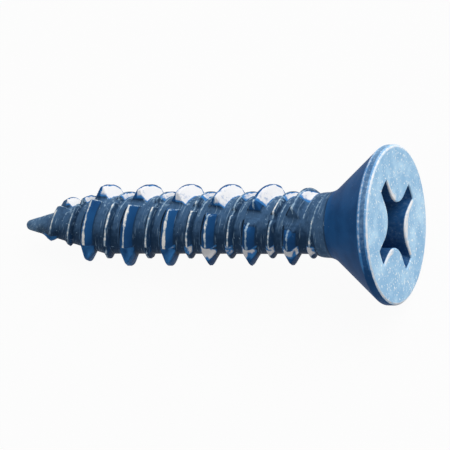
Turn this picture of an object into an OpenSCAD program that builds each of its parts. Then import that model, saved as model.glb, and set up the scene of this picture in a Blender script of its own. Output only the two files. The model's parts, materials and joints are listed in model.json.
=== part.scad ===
// Concrete screw: a countersunk head with a cross recess, a short plain neck
// and a shank with a high and a low thread, notched in slow spiral rows.
// The screw is drawn point down on the Z axis, and is then laid on its side,
// resting on the rim of the head and on a crest near the point.

/* [Overall] */
// Length from the point to the flat face of the head
screw_length = 31.75; // [28:0.25:60]
// Side of the screw that faces down, as an angle round the shank
resting_side = 228; // [0:1:359]

/* [Head] */
// Diameter of the head at its rim
head_d = 12.7; // [11:0.1:15]
// Included angle of the countersunk cone
countersink_angle = 82; // [75:1:100]
// Height of the straight rim above the cone
rim_h = 0.75; // [0.5:0.05:1.2]
// Bevel where the rim meets the face
rim_bevel = 0.15; // [0.1:0.05:0.4]

/* [Neck] */
// Diameter of the plain neck under the head
neck_d = 5.2; // [4.8:0.1:6]
// Length of the plain neck, from the end of the thread to the cone
neck_l = 1.1; // [1:0.1:4]
// Radius of the fillet between neck and cone
neck_fillet = 2; // [0.6:0.1:2.4]

/* [Cross recess] */
// Diameter over the tips of the wings, at the face
recess_d = 8.4; // [6.6:0.1:8.8]
// Width of a wing
wing_w = 1.45; // [1:0.05:1.7]
// Depth of the wings, down to the edge of the cone at the bottom
wing_depth = 3.2; // [2.4:0.1:3.4]
// Depth of the cone at the bottom of the recess
recess_floor = 0.55; // [0.3:0.05:0.7]
// Slope of the outer edge of a wing, measured from the axis
wing_slope = 26.5; // [20:0.5:30]
// Radius of the rounded corners between the wings
recess_corner = 1.9; // [1.4:0.1:2.2]
// Turn of the recess round the axis
recess_turn = 41; // [0:1:89]

/* [Thread] */
// Direction of the thread
thread_hand = -1; // [-1:Left hand, 1:Right hand]
// Diameter of the shank between the threads
root_d = 4.6; // [4:0.1:4.8]
// Diameter over the high thread
high_d = 6.5; // [6:0.1:7.5]
// Diameter over the low thread
low_d = 5.35; // [5:0.05:5.8]
// Axial distance of one turn, which holds one high and one low crest
thread_lead = 3.5; // [3.3:0.1:5]
// Width of the flat on the high crest
high_crest_w = 0.32; // [0.2:0.02:0.6]
// Width of the flat on the low crest
low_crest_w = 0.3; // [0.2:0.05:0.4]
// Angle between the two flanks of a thread
flank_angle = 60; // [40:1:62]
// Axial place of the high crest at angle zero
thread_phase = 0.16; // [0:0.02:3.5]
// Length over which the high thread fades out below the neck
high_fade_l = 1.7; // [1:0.1:3]
// Length over which the low thread fades out below the neck
low_fade_l = 0.9; // [0.5:0.1:3]

/* [Point] */
// Included angle of the point
point_angle = 32; // [28:1:45]
// Radius of the blunt tip
tip_r = 0.42; // [0.3:0.02:0.6]
// Distance from the tip to the start of the high thread
high_start = 1.3; // [1.2:0.1:2]
// Distance from the tip to the start of the low thread
low_start = 3; // [2.5:0.1:4]
// Distance from the tip to the first crest of full height
full_at = 7; // [6:0.1:10]

/* [Notches] */
// Rows of notches round the shank
notch_rows = 4; // [3:1:5]
// Angle that a notch takes up at the high crest
notch_angle = 31; // [24:1:36]
// Angle that its floor takes up
notch_floor_angle = 10; // [4:1:16]
// Height of the thread left on the floor of a notch
notch_floor_h = 0.1; // [0.05:0.05:0.3]
// Angle of the first row half way up the thread, where the rows are evenly spaced
notch_phase = 51.25; // [0:0.25:90]
// Turn of the first row for each millimetre along the shank
front_twist = 2.6; // [1:0.1:3]
// Turn of the other rows for each millimetre along the shank
side_twist = 0.4; // [0:0.1:1]

/* [Hidden] */

root_r = root_d / 2;
neck_r = neck_d / 2;
head_r = head_d / 2;
round_sides = 96;

// Stations along the axis, measured from the tip
rim_s = screw_length - rim_h;
cone_s = rim_s - (head_r - neck_r) / tan(countersink_angle / 2);
thread_end = cone_s - neck_l;

// Shares of the neck between which the shank and the head overlap, and the hair
// by which the shank ends inside the neck, so that the two join on a flat step
join_from = 0.3;
join_to = 0.7;
weld_step = 0.03;
weld_s = thread_end + neck_l * join_from;
shank_top = thread_end + neck_l * join_to;
shank_top_r = neck_r - weld_step;

// Blunt tip: a ball that touches the cone of the point
point_half = point_angle / 2;
ball_end = tip_r * (1 - sin(point_half));
ball_steps = 4;
bare_share = 0.8;
ring_start = bare_share * high_start;

// Thread height that a notch leaves at an angle from its middle
high_h = (high_d - root_d) / 2;
low_h = (low_d - root_d) / 2;
notch_out = notch_angle / 2;
notch_in = notch_floor_angle / 2;
notch_mid = notch_in + (notch_out - notch_in) * (low_h - notch_floor_h) / (high_h - notch_floor_h);
function notch_height(angle) = let (wall = (abs(angle) - notch_in) / (notch_out - notch_in))
    notch_floor_h + (high_h - notch_floor_h) * max(0, wall);

// Each row of notches has an angle at the tip and a twist, and the first row turns most
function row_twist(i) = -thread_hand * (i % notch_rows == 0 ? front_twist : side_twist);
function row_angle(i) = notch_phase + i * 360 / notch_rows - row_twist(i) * thread_end / 2;

// Columns of points round the shank: angle at the tip, twist, and thread height left
land_steps = 8;
notch_edges = [-notch_out, -notch_mid, -notch_in, notch_in, notch_mid];
function notch_columns(i) = [for (x = notch_edges) [row_angle(i) + x, row_twist(i), notch_height(x)]];
function land_columns(i) = let (
    from = [row_angle(i) + notch_out, row_twist(i), high_h],
    to = [row_angle(i + 1) - notch_out, row_twist(i + 1), high_h]
) [for (j = [0:land_steps - 1]) from + (to - from) * j / land_steps];
columns = [for (i = [0:notch_rows - 1]) each concat(notch_columns(i), land_columns(i))];
ncol = len(columns);

// Rows of points along the axis: feet and crest edges of both threads in one lead
flank = tan(flank_angle / 2);
high_half = high_crest_w / 2;
low_half = low_crest_w / 2;
high_foot = high_half + high_h * flank;
low_foot = low_half + low_h * flank;
profile = concat(
    [for (x = [-high_foot, -high_half, high_half, high_foot]) x],
    [for (x = [-low_foot, -low_half, low_half, low_foot]) thread_lead / 2 + x]
);
// Height class of each profile row: 0 root, 1 high crest, 2 low crest
crest = [0, 1, 1, 0, 0, 2, 2, 0];
nrow = len(profile);
spare_leads = 2;
row_first = -spare_leads * nrow;
row_last = nrow * (ceil(thread_end / thread_lead) + spare_leads);
lead_per_degree = thread_hand * thread_lead / 360;

function clamp01(x) = max(0, min(1, x));
function smooth(x) = let (t = clamp01(x)) t * t * (3 - 2 * t);
function wrap(i, n) = ((i % n) + n) % n;
function arc(c, r, from, to, steps) =
    [for (i = [0:steps]) let (a = from + (to - from) * i / steps) c + r * [cos(a), sin(a)]];

// Radius of the bare shank at a station
function point_radius(s) = s < ball_end
    ? sqrt(max(0, tip_r * tip_r - pow(s - tip_r, 2)))
    : min(root_r, tip_r * cos(point_half) + (s - ball_end) * tan(point_half));
function bare_radius(s) = point_radius(s)
    + (shank_top_r - root_r) * smooth((s - thread_end + low_fade_l) / low_fade_l);

// Share of its full height that a thread has at a station
function grown(s, start, fade) = clamp01((s - start) / (full_at - start)) * smooth((thread_end - s) / fade);
function crest_radius(s, kind, limit) = let (bare = bare_radius(s))
    kind == 1 ? bare + min(limit, max(0, high_d / 2 - bare) * grown(s, high_start, high_fade_l))
    : kind == 2 ? bare + min(limit, max(0, low_d / 2 - bare) * grown(s, low_start, low_fade_l))
    : bare;

// Station of a grid point: its row follows the helix, its column the notch spiral
function row_place(b) = thread_phase + thread_lead * floor(b / nrow) + profile[wrap(b, nrow)];
function station(a, b) = (row_place(b) + lead_per_degree * columns[a][0]) / (1 - lead_per_degree * columns[a][1]);
function at_angle(a, s, r) = let (angle = columns[a][0] + columns[a][1] * s) [r * cos(angle), r * sin(angle), s];
function ring(s, r) = [for (a = [0:ncol - 1]) at_angle(a, s, r)];

function grid_point(a, b) = let (
    s = max(ring_start, min(thread_end, station(a, b))),
    r = crest_radius(s, crest[wrap(b, nrow)], columns[a][2])
) at_angle(a, s, r);

// Rings that close the shank: one under the neck, one in it, and those of the tip
ball_angles = [for (i = [0:ball_steps - 1]) (90 - point_half) * (1 - i / ball_steps)];
grid = [for (b = [row_first:row_last]) for (a = [0:ncol - 1]) grid_point(a, b)];
ends = concat(
    ring(ring_start, bare_radius(ring_start)),
    ring(thread_end, shank_top_r),
    [for (p = ring(thread_end, shank_top_r)) [p.x, p.y, shank_top]],
    [for (g = ball_angles) each ring(tip_r * (1 - cos(g)), tip_r * sin(g))],
    [[0, 0, 0]]
);
shank_points = concat(grid, ends);
end_first = len(grid);
apex = len(shank_points) - 1;

function ring_index(k, a) = end_first + k * ncol + wrap(a, ncol);
function grid_index(a, b) = a == ncol
    ? grid_index(0, b + thread_hand * nrow)
    : let (s = station(a, b))
        s < ring_start ? ring_index(0, a)
        : s > thread_end ? ring_index(1, a)
        : (b - row_first) * ncol + a;
function two_triangles(p, q, r, t) = [
    if (p != q && q != r && r != p) [p, q, r],
    if (p != r && r != t && t != p) [p, r, t]
];

shank_faces = concat(
    [for (b = [row_first:row_last - 1]) for (a = [0:ncol - 1])
        each two_triangles(grid_index(a, b), grid_index(a, b + 1), grid_index(a + 1, b + 1), grid_index(a + 1, b))],
    [for (a = [0:ncol - 1])
        each two_triangles(ring_index(1, a), ring_index(2, a), ring_index(2, a + 1), ring_index(1, a + 1))],
    [[for (a = [0:ncol - 1]) ring_index(2, ncol - 1 - a)]],
    [for (k = [0:ball_steps - 1]) for (a = [0:ncol - 1]) let (above = k == 0 ? 0 : k + 2, below = k + 3)
        each two_triangles(ring_index(below, a), ring_index(above, a), ring_index(above, a + 1), ring_index(below, a + 1))],
    [for (a = [0:ncol - 1]) [apex, ring_index(ball_steps + 2, a), ring_index(ball_steps + 2, a + 1)]]
);

// Lean of the axis when the rim and the lowest crest both touch the floor
function down_reach(p) = p.x * cos(resting_side) + p.y * sin(resting_side);
lean = atan(min([for (p = shank_points) (head_r - down_reach(p)) / (rim_s - p.z)]));
axis_lift = head_r * cos(lean) - rim_s * sin(lean);
front_x = max(
    rim_s * cos(lean) + head_r * sin(lean),
    (screw_length - rim_bevel) * cos(lean) + head_r * sin(lean),
    screw_length * cos(lean) + (head_r - rim_bevel) * sin(lean)
);
back_x = tip_r * (cos(lean) - 1);

module threaded_shank() {
    polyhedron(points = shank_points, faces = shank_faces, convexity = 10);
}

module countersunk_head() {
    fillet_steps = 6;
    half = countersink_angle / 2;
    tangent = neck_fillet * tan(half / 2);
    fillet_centre = [neck_r + neck_fillet, cone_s - tangent];
    outline = concat(
        [[0, weld_s], [neck_r, weld_s]],
        arc(fillet_centre, neck_fillet, 180, 180 - half, fillet_steps),
        [[head_r, rim_s], [head_r, screw_length - rim_bevel], [head_r - rim_bevel, screw_length], [0, screw_length]]
    );
    rotate_extrude($fn = round_sides) polygon(outline);
}

// Rounded corner of the head material between two wings
module recess_lobe() {
    reach = recess_d;
    inset = wing_w / 2 + recess_corner;
    translate([inset, wing_w / 2]) square([reach, reach]);
    translate([wing_w / 2, inset]) square([reach, reach]);
    translate([inset, inset]) circle(recess_corner, $fn = round_sides);
}

// The recess as a cutter, which stands proud of the face and is cut by longer lobes
module cross_recess() {
    proud = 0.3;
    total = wing_depth + recess_floor;
    top_r = recess_d / 2 + proud * tan(wing_slope);
    bottom_r = recess_d / 2 - wing_depth * tan(wing_slope);
    translate([0, 0, screw_length]) rotate(recess_turn) difference() {
        rotate_extrude($fn = round_sides)
            polygon([[0, -total], [bottom_r, -wing_depth], [top_r, proud], [0, proud]]);
        for (quarter = [0:3]) rotate(90 * quarter) translate([0, 0, -total - proud])
            linear_extrude(total + 3 * proud) recess_lobe();
    }
}

module concrete_screw() {
    color("#24507f") translate([-(front_x + back_x) / 2, 0, axis_lift]) rotate([0, 90 - lean, 0])
        rotate(-resting_side) difference() {
            union() {
                threaded_shank();
                countersunk_head();
            }
            cross_recess();
        }
}

concrete_screw();
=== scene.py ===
"""Blue coated concrete screw: fine surface, finish, floor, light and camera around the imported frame."""

import json
import logging
from dataclasses import dataclass, field
from enum import Enum
from functools import cached_property
from typing import Any

import bpy
import numpy as np
from mathutils import Matrix, Vector


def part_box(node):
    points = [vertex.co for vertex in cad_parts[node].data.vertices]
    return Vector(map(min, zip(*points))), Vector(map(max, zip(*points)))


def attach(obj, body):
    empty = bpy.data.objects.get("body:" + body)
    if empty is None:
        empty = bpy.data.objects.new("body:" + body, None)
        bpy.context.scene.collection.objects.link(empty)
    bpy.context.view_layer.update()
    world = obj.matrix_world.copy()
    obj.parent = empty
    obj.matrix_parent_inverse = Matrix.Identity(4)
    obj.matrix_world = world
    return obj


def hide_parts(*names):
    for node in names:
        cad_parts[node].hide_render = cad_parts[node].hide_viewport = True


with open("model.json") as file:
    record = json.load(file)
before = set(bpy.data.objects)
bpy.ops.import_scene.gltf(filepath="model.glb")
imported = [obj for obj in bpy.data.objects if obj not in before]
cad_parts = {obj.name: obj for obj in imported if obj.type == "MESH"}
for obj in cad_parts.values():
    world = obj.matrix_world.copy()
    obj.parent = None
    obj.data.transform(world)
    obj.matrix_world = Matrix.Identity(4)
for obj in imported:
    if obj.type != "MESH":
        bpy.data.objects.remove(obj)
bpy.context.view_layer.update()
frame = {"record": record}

log = logging.getLogger("concrete_screw")
MM = 0.001
WHITE = "ffffff"
# Lattice values of the noise, and primes that spread its cells over them
TABLE_SIZE = 4096
HASH_PRIMES = np.array([73856093, 19349663, 83492791])
# Colour sockets of a mix node
MIX_BELOW = 6
MIX_ABOVE = 7
MIX_RESULT = 2
Array = np.ndarray
Span = tuple[float, float]


class Hand(Enum):
    """Direction in which the thread winds."""

    LEFT = -1
    RIGHT = 1


def hex_to_linear(code: str) -> tuple[float, float, float, float]:
    """Turns an sRGB hex colour into linear red, green, blue and alpha.

    Args:
        code: Six hex digits, such as "24507f".

    Returns:
        The linear colour, with alpha 1.
    """
    srgb = np.array([int(code[i:i + 2], 16) for i in (0, 2, 4)]) / 255
    linear = np.where(srgb <= 0.04045, srgb / 12.92, ((srgb + 0.055) / 1.055) ** 2.4)
    return (*linear.tolist(), 1.0)


def smooth(x: Array) -> Array:
    """Smooth step from 0 to 1 as x goes from 0 to 1: three x squared less two x cubed."""
    t = np.clip(x, 0, 1)
    return t * t * (3 - 2 * t)


def ramp(value: Array, span: Span) -> Array:
    """Smooth step from 0 to 1 as the value goes from the span's start to its end, up or down."""
    return smooth((value - span[0]) / (span[1] - span[0]))


def bell(x: Array, width: float) -> Array:
    """Bell curve that is 1 at zero: e to the power of minus the square of x over the width."""
    return np.exp(-(x / width) ** 2)


def between(start: Any, end: Any, count: int) -> Array:
    """Evenly spaced values, or rows of values, between start and end and without these two."""
    return np.linspace(start, end, count + 2)[1:-1]


def polar(radius: Array, angle: Array, s: Array) -> Array:
    """Places at a radius and an angle in radians round the axis, and at a station along it."""
    return np.stack(np.broadcast_arrays(radius * np.cos(angle), radius * np.sin(angle), s), axis=-1)


def soft_ramp(t: Array, blend: float) -> Array:
    """Ramp that follows t from 0 to 1, with both ends rounded by parabolas.

    Args:
        t: Values that run below 0 and above 1.
        blend: Half the length of each parabola.

    Returns:
        Values from 0 to 1.
    """
    low = np.clip(t + blend, 0, 2 * blend) ** 2 / (4 * blend)
    high = np.clip(1 + blend - t, 0, 2 * blend) ** 2 / (4 * blend)
    return np.where(t < 0.5, np.where(t < blend, low, t), np.where(t > 1 - blend, 1 - high, t))


def soft_min(a: Array, b: Array, blend: float) -> Array:
    """The lesser of a and b, with a parabola of width blend where they cross."""
    share = np.clip(0.5 + 0.5 * (b - a) / blend, 0, 1)
    return b + (a - b) * share - blend * share * (1 - share)


@dataclass(frozen=True)
class Grain:
    """Seeded value noise on a cubic lattice, the same for a point wherever it is asked for.

    Args:
        cell: Edge of a lattice cell in millimetres.
        seed: Seed of the lattice values.
        depth: Greatest value of the noise, which goes as far below 0.
    """

    cell: float
    seed: int
    depth: float = 1.0

    def at(self, points: Array) -> Array:
        """Noise about 0: lattice values blended by smooth steps along the three axes.

        Args:
            points: Places in millimetres, one row of three for each.

        Returns:
            One value for each point.
        """
        table = np.random.default_rng(self.seed).uniform(-1, 1, TABLE_SIZE)
        scaled = points / self.cell
        base = np.floor(scaled).astype(np.int64)
        share = smooth(scaled - base)
        total = np.zeros(len(points))
        for corner in np.ndindex(2, 2, 2):
            key = np.bitwise_xor.reduce((base + np.array(corner)) * HASH_PRIMES, axis=1)
            weight = np.prod(np.where(np.array(corner) == 1, share, 1 - share), axis=1)
            total += weight * table[key % TABLE_SIZE]
        return self.depth * total


@dataclass(frozen=True)
class Lie:
    """How the screw lies: its axis from the tip to the head, its face's centre in metres and its length.

    The side at down_angle, in degrees round the axis, faces down.
    """

    axis: Array
    face_centre: Array
    length: float
    down_angle: float = 228.0

    @property
    def up(self) -> Array:
        """Direction across the axis that points most nearly up."""
        return np.array([-self.axis[2], 0.0, self.axis[0]])

    def direction(self, angle: float) -> Array:
        """World direction of an angle in degrees, which grows as a right-hand turn about the axis."""
        turn = np.radians(angle - self.down_angle)
        return -np.cos(turn) * self.up + np.sin(turn) * np.array([0.0, 1.0, 0.0])

    def to_world(self, points: Array) -> Array:
        """Carries points from the screw's own frame, in millimetres, to the world in metres.

        Args:
            points: Rows of x, y across the axis and z along it from the tip.

        Returns:
            Rows of world places.
        """
        tip = self.face_centre - self.axis * self.length * MM
        basis = np.stack([self.direction(0), self.direction(90), self.axis])
        return tip + points * MM @ basis


@dataclass
class Patch:
    """Rings of points in millimetres, one row for each ring, with the four zone values of each point."""

    points: Array
    zones: Array


@dataclass
class ThreadGrid:
    """Grid over the thread, one row of points for each place in the profile and one column for each line.

    Args:
        free: Station of each point before it is held between the two end rings.
        s: Station of each point, in millimetres from the tip.
        angle: Angle of each point round the axis, in radians.
        off: Angle of each column from the middle of its notch, in degrees.
        row: Row of notches that each column belongs to.
        across: Place of each row in the profile, in millimetres from the high crest.
        noise_r: Radius of the plain cylinder on which noise is taken.
    """

    free: Array
    s: Array
    angle: Array
    off: Array
    row: Array
    across: Array
    noise_r: float

    @cached_property
    def up(self) -> Array:
        """Cosine of each point's angle, which is 1 on the line that the camera sees on top."""
        return np.cos(self.angle)

    @cached_property
    def side(self) -> Array:
        """Sine of each point's angle, which is 1 on the line that faces the camera."""
        return np.sin(self.angle)

    @property
    def front(self) -> Array:
        """Columns of the teeth that face the camera, past the first row of notches."""
        return (self.row == 0) & (self.off > 0)

    def noise(self, grain: Grain) -> Array:
        """Noise at each point, taken on a plain cylinder."""
        places = polar(self.noise_r, self.angle, self.s)
        return grain.at(places.reshape(-1, 3)).reshape(self.s.shape)


@dataclass(frozen=True)
class Reach:
    """Where on the shank something shows: the product of a smooth step over each span that is given.

    Args:
        most: Value where all steps are done.
        s: Span of stations, in millimetres from the tip.
        up: Span of the cosine of the angle.
        side: Span of the sine of the angle.
    """

    most: float = 1.0
    s: Span | None = None
    up: Span | None = None
    side: Span | None = None

    def on(self, grid: ThreadGrid) -> Array:
        """Value from 0 to most at each point of a grid."""
        spans = ((grid.s, self.s), (grid.up, self.up), (grid.side, self.side))
        return self.most * np.prod([ramp(value, span) for value, span in spans if span], axis=0)


@dataclass(frozen=True)
class ThreadForm:
    """Sizes of one thread and the rows of points on it, in millimetres.

    Args:
        radius: Radius over the crest.
        crest: Half the width of the flat on the crest.
        start: Station where it begins to rise.
        fade: Length over which it dies away at its end.
        chipped: Share of the depth of the chips that it takes.
        sharpened: Share of the flat that is worn away on the underside.
        crest_rows: Rows at the edge of the crest, as distances from that edge.
        flank_rows: How many rows lie on the flank.
        flank_inset: Distances of these rows from the crest's edge and from the foot.
        foot_row: Distance of the last row from the foot.
    """

    radius: float
    crest: float
    start: float
    fade: float
    chipped: float
    sharpened: float
    crest_rows: tuple[float, ...]
    flank_rows: int
    flank_inset: Span
    foot_row: float


@dataclass(frozen=True)
class Ridge:
    """One thread on the grid, with heights over the bare shank.

    Args:
        crest: Half the width of the flat on the crest.
        height: Full height of the thread.
        x: Axial distance from the middle of the crest.
        share: Share of the height that the profile gives at that distance.
        top: Height of the crest, as far as the notch leaves it.
        rise: Height of the surface.
        gap: Height of the notch over the thread, below 0 where it cuts.
    """

    crest: float
    height: float
    x: Array
    share: Array
    top: Array
    rise: Array
    gap: Array

    @cached_property
    def left(self) -> Array:
        """Share of the full height that is left of the crest."""
        return np.clip(self.top / self.height, 0, 1)

    @property
    def drop(self) -> Array:
        """Way down the flank on the head's side, and below 0 the axial distance to that flank."""
        return np.where(self.x < self.crest, self.x - self.crest, (1 - self.share) * self.top)


@dataclass(frozen=True)
class Relief:
    """Radius of the shank without threads, and the two threads on it."""

    bare: Array
    high: Ridge
    low: Ridge


@dataclass
class Shank:
    """The threaded shank and its point, in millimetres from the tip and in degrees.

    A high and a low thread share one lead, and rows of notches cut both.
    """

    thread_end: float
    top_r: float
    hand: Hand = Hand.LEFT
    # Threads and the rows of points on them
    root_r: float = 2.3
    high: ThreadForm = ThreadForm(
        radius=3.25, crest=0.16, start=1.3, fade=1.7, chipped=1.0, sharpened=0.9,
        crest_rows=(-0.06, -0.03, 0.0), flank_rows=6, flank_inset=(0.05, 0.05), foot_row=0.06)
    low: ThreadForm = ThreadForm(
        radius=2.675, crest=0.15, start=3.0, fade=0.9, chipped=0.6, sharpened=0.45,
        crest_rows=(-0.08, -0.03, 0.03), flank_rows=3, flank_inset=(0.1, 0.04), foot_row=0.05)
    gap_rows: int = 5
    lead: float = 3.5
    phase: float = 0.16
    flank_angle: float = 30.0
    full_at: float = 7.0
    edge_round: float = 0.07
    # Point
    point_half: float = 16.0
    point_round: float = 0.05
    tip_r: float = 0.42
    tip_gap: float = 0.005
    tip_frost: Reach = Reach(0.24, s=(3.2, 1.2))
    ball_rings: int = 7
    # Ends of the helical rows
    ring_share: float = 0.8
    spare_leads: int = 2
    # Notches
    rows_of_notches: int = 4
    notch_half: float = 15.5
    notch_floor_half: float = 5.0
    notch_floor_h: float = 0.1
    notch_margin: float = 4.0
    notch_phase: float = 51.25
    notch_columns: int = 26
    land_columns: int = 24
    land_off: float = 90.0
    front_twist: float = 2.6
    side_twist: float = 0.4
    slow_rise: Reach = Reach(14.0, s=(18.0, 20.5))
    # Worn crests and small irregularities
    sharp: Reach = Reach(s=(13.0, 16.0), up=(-0.2, -0.6))
    wander: Grain = Grain(2.6, 11, 2.2)
    wander_step: float = 9.0
    chips: Grain = Grain(0.4, 5, 0.07)
    chip_from: float = 0.007
    dents: Grain = Grain(0.5, 31, 0.025)
    dent_from: float = 0.01125
    wave: Grain = Grain(0.7, 21, 0.03)
    sway: Grain = Grain(0.9, 8, 0.012)
    # Ridge where the low thread runs out on the neck
    run_out_h: float = 0.05
    run_out_soft: float = 0.07
    run_out_wear: float = 0.6
    run_out_from: Span = (5.0, 30.0)
    run_out_to: Span = (110.0, 90.0)

    @property
    def ring_start(self) -> float:
        """Station of the ring where the helical rows begin."""
        return self.ring_share * self.high.start

    @property
    def ball_end(self) -> float:
        """Station where the ball of the tip passes into the cone of the point."""
        return self.tip_r * (1 - np.sin(np.radians(self.point_half)))

    def height(self, form: ThreadForm) -> float:
        """Height of a thread over the root."""
        return form.radius - self.root_r

    def foot(self, form: ThreadForm) -> float:
        """Axial distance of a thread's foot from the middle of its crest."""
        return form.crest + self.height(form) * np.tan(np.radians(self.flank_angle))

    def columns(self) -> Array:
        """Columns of points: angle at the tip, twist per millimetre, angle from the notch, notch row.

        A notch row's columns are evenly spread over the notch and its edges, and the columns of the
        land are evenly spread from there to the next row. The first row turns most.

        Returns:
            One row of four values for each column.
        """
        reach = self.notch_half + self.notch_margin
        rows = np.arange(self.rows_of_notches + 1)
        turn = np.where(rows % self.rows_of_notches == 0, self.front_twist, self.side_twist)
        twist = -self.hand.value * turn
        angle = self.notch_phase + rows * 360 / self.rows_of_notches - twist * self.thread_end / 2
        blocks = []
        for row in range(self.rows_of_notches):
            inside = np.linspace(-reach, reach, self.notch_columns, endpoint=False)
            block = np.stack([angle[row] + inside, np.full_like(inside, twist[row]), inside,
                              np.full_like(inside, row)], axis=1)
            over = np.linspace(0, 1, self.land_columns, endpoint=False)[:, None]
            first = np.array([angle[row] + reach, twist[row], self.land_off, row])
            last = np.array([angle[row + 1] - reach, twist[row + 1], self.land_off, row])
            blocks += [block, first + (last - first) * over]
        return np.concatenate(blocks)

    def side_rows(self, form: ThreadForm) -> Array:
        """Rows on one side of a thread, close together at the edge of the crest and at the foot.

        Args:
            form: The thread.

        Returns:
            Axial distances from the middle of the crest.
        """
        foot = self.foot(form)
        near, far = form.flank_inset
        flank = np.linspace(form.crest + near, foot - far, form.flank_rows)
        return np.concatenate([form.crest + np.array(form.crest_rows), flank, [foot, foot + form.foot_row]])

    def profile(self) -> Array:
        """Rows of one lead: the high thread's side, the gap, the low thread's side, and all that mirrored.

        Returns:
            Axial places from the middle of the high crest.
        """
        high = self.side_rows(self.high)
        low = self.lead / 2 - self.side_rows(self.low)[::-1]
        side = np.concatenate([high, between(high[-1], low[0], self.gap_rows), low])
        return np.concatenate([[0], side, [self.lead / 2], self.lead - side[::-1]])

    def bare_radius(self, s: Array) -> Array:
        """Radius without threads: a ball, a cone and a cylinder that swells into the neck at its end.

        Args:
            s: Stations.

        Returns:
            One radius for each.
        """
        half = np.radians(self.point_half)
        ball = np.sqrt(np.maximum(0, (self.tip_r - self.tip_gap) ** 2 - (s - self.tip_r) ** 2))
        cone = self.tip_r * np.cos(half) + (s - self.ball_end) * np.tan(half)
        shaft = soft_min(cone, np.full_like(s, self.root_r), self.point_round)
        swell = ramp(s - self.thread_end, (-self.low.fade, 0.0))
        return np.where(s < self.ball_end, ball, shaft) + (self.top_r - self.root_r) * swell

    def shape(self, x: Array, form: ThreadForm, sharp: Array) -> Array:
        """Share of a thread's height at an axial distance x: a trapezoid with rounded crest and foot.

        Args:
            x: Axial distance from the middle of the crest.
            form: The thread.
            sharp: How far its flat is worn away, from 0 to 1, with the foot kept.

        Returns:
            Shares from 0 at the foot to 1 on the crest.
        """
        foot = self.foot(form)
        run = foot - form.crest * (1 - form.sharpened * sharp)
        return soft_ramp((foot - np.abs(x)) / run, self.edge_round / self.height(form))

    def grown(self, s: Array, form: ThreadForm) -> Array:
        """Share of full height at a station: a straight rise at the start and a smooth fade at the end."""
        rise = np.clip((s - form.start) / (self.full_at - form.start), 0, 1)
        return rise * smooth((self.thread_end - s) / form.fade)

    def grid(self) -> ThreadGrid:
        """Lays the grid: each row follows the helix and each column a line of notches.

        A point's station solves row place plus lead per degree times column angle, where the column
        turns with its own twist.

        Returns:
            The grid, with rows for some leads beyond both ends.
        """
        angle0, twist, off, row = self.columns().T
        profile = self.profile()
        last = int(np.ceil(self.thread_end / self.lead)) + self.spare_leads
        leads = np.arange(-self.spare_leads, last)
        place = (leads[:, None] * self.lead + profile).ravel()
        per_degree = self.hand.value * self.lead / 360
        free = (self.phase + place[:, None] + per_degree * angle0) / (1 - per_degree * twist)
        s = np.clip(free, self.ring_start, self.thread_end)
        across = np.tile(profile, len(leads))
        return ThreadGrid(free, s, np.radians(angle0 + twist * s), off, row, across, self.root_r)

    def past_front(self, grid: ThreadGrid) -> Array:
        """Angle of each point past the middle of the first row of notches, in degrees."""
        turned = self.hand.value * self.front_twist * (grid.s - self.thread_end / 2)
        return np.degrees(grid.angle) - self.notch_phase + turned

    def notch(self, grid: ThreadGrid) -> Array:
        """Height that the notches leave: a floor and two straight walls, about a middle that wanders.

        Near the head, the teeth that face the camera rise more slowly from their notches.

        Args:
            grid: Grid over the thread.

        Returns:
            One height for each point, over the bare shank.
        """
        line = np.stack(np.broadcast_arrays(grid.s, grid.row * self.wander_step, 0.0), axis=-1)
        wander = self.wander.at(line.reshape(-1, 3)).reshape(grid.s.shape)
        off = np.where(grid.front, self.past_front(grid), grid.off)
        width = self.notch_half - self.notch_floor_half + self.slow_rise.on(grid) * grid.front
        wall = (np.abs(off + wander) - self.notch_floor_half) / width
        return self.notch_floor_h + (self.height(self.high) - self.notch_floor_h) * np.maximum(0, wall)

    def relief(self, grid: ThreadGrid) -> Relief:
        """Heights of both threads over the bare shank.

        The surface is the lesser of the thread's full profile and what the notch leaves, less the
        chips of the edge. Crests on the underside near the head are worn sharper.

        Args:
            grid: Grid over the thread.

        Returns:
            The bare radius and both threads.
        """
        limit = self.notch(grid)
        bare = self.bare_radius(grid.s)
        chips = np.maximum(0, grid.noise(self.chips) - self.chip_from)
        wave = grid.noise(self.wave)
        sharp = self.sharp.on(grid)
        ridges = []
        for form, seat in ((self.high, 0.0), (self.low, self.lead / 2)):
            height = self.height(form)
            x = ((grid.across - seat + self.lead / 2) % self.lead - self.lead / 2)[:, None] + wave
            share = self.shape(x, form, sharp)
            full = np.maximum(0, form.radius - bare) * self.grown(grid.s, form)
            body = full * share
            top = np.maximum(0, soft_min(limit, full, self.edge_round))
            rise = soft_min(limit, body, self.edge_round) - form.chipped * chips * body / height
            ridges.append(Ridge(form.crest, height, x, share, top, np.maximum(0, rise), limit - body))
        return Relief(bare, *ridges)

    def surface(self) -> tuple[Array, Array, Array, Array]:
        """Threaded surface from the tip to the ring where the neck begins.

        Returns:
            Points, zone values, triangles, and the indices of the last ring.
        """
        columns = self.columns()
        grid = self.grid()
        relief = self.relief(grid)
        dents = np.maximum(0, grid.noise(self.dents) - self.dent_from)
        sway = grid.noise(self.sway) - self.sway.depth
        radius = relief.bare + relief.high.rise + relief.low.rise + sway - dents
        points = polar(radius, grid.angle, grid.s).reshape(-1, 3)

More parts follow.
